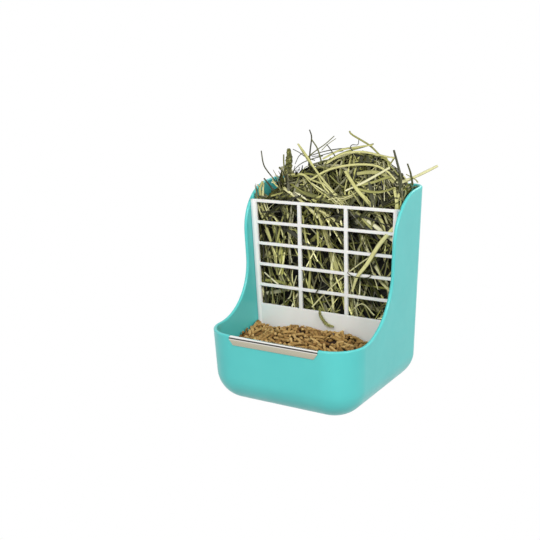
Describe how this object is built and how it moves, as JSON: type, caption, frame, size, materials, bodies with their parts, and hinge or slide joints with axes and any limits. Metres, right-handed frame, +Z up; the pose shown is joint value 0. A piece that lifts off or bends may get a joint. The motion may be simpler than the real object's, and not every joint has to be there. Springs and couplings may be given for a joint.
{
  "type": "hay feeder box",
  "caption": "Wall-hung feeder box for small pets: a moulded shell with a low food bowl, a hay chamber behind a lift-out grille, and sprung cage hooks at the back.",
  "frame": {"origin": "middle of the base, at the level the feeder stands on, under the middle of its overall width and depth", "axes": "+X to the right, front (bowl) towards -Y, flat back wall towards +Y, +Z up"},
  "size_m": [0.1498, 0.1365, 0.2029],
  "materials": {
    "teal_plastic": "glossy moulded polypropylene",
    "white_plastic": "semi-gloss moulded polypropylene",
    "stainless_steel": "bright folded stainless sheet",
    "dried_hay": "dry stalks and leaves",
    "feed_pellets": "matt pressed feed",
    "spring_steel": "drawn spring wire",
    "hook_steel": "plated wire"
  },
  "bodies": {
    "feeder_body": {"body_shell": "teal_plastic", "lip_guard": "stainless_steel"},
    "grille": {"hay_grille": "white_plastic"},
    "hay_load": {"hay": "dried_hay"},
    "pellet_load": {"pellets": "feed_pellets"},
    "left_spring_arm": {"left_hook_spring": "spring_steel"},
    "left_hook": {"left_cage_hook": "hook_steel"},
    "right_spring_arm": {"right_hook_spring": "spring_steel"},
    "right_hook": {"right_cage_hook": "hook_steel"}
  },
  "joints": [
    {"name": "grille_lift", "type": "slide", "parent": "feeder_body", "child": "grille", "axis": [0, 0, 1], "range_m": [0, 0.165]},
    {"name": "hay_lift", "type": "slide", "parent": "feeder_body", "child": "hay_load", "axis": [0, 0, 1], "range_m": [0, 0.2]},
    {"name": "pellets_lift", "type": "slide", "parent": "feeder_body", "child": "pellet_load", "axis": [0, 0, 1], "range_m": [0, 0.12]},
    {"name": "left_hook_swing", "type": "hinge", "parent": "feeder_body", "child": "left_spring_arm", "pos_m": [-0.044, 0.0637, 0.144], "axis": [1, 0, 0], "range_deg": [0, 95]},
    {"name": "left_spring_stretch", "type": "slide", "parent": "left_spring_arm", "child": "left_hook", "axis": [0, 0, -1], "range_m": [0, 0.018], "stiffness_N_per_m": 300, "deforming": ["left_hook_spring"]},
    {"name": "right_hook_swing", "type": "hinge", "parent": "feeder_body", "child": "right_spring_arm", "pos_m": [0.044, 0.0637, 0.144], "axis": [1, 0, 0], "range_deg": [0, 95]},
    {"name": "right_spring_stretch", "type": "slide", "parent": "right_spring_arm", "child": "right_hook", "axis": [0, 0, -1], "range_m": [0, 0.018], "stiffness_N_per_m": 300, "deforming": ["right_hook_spring"]}
  ]
}
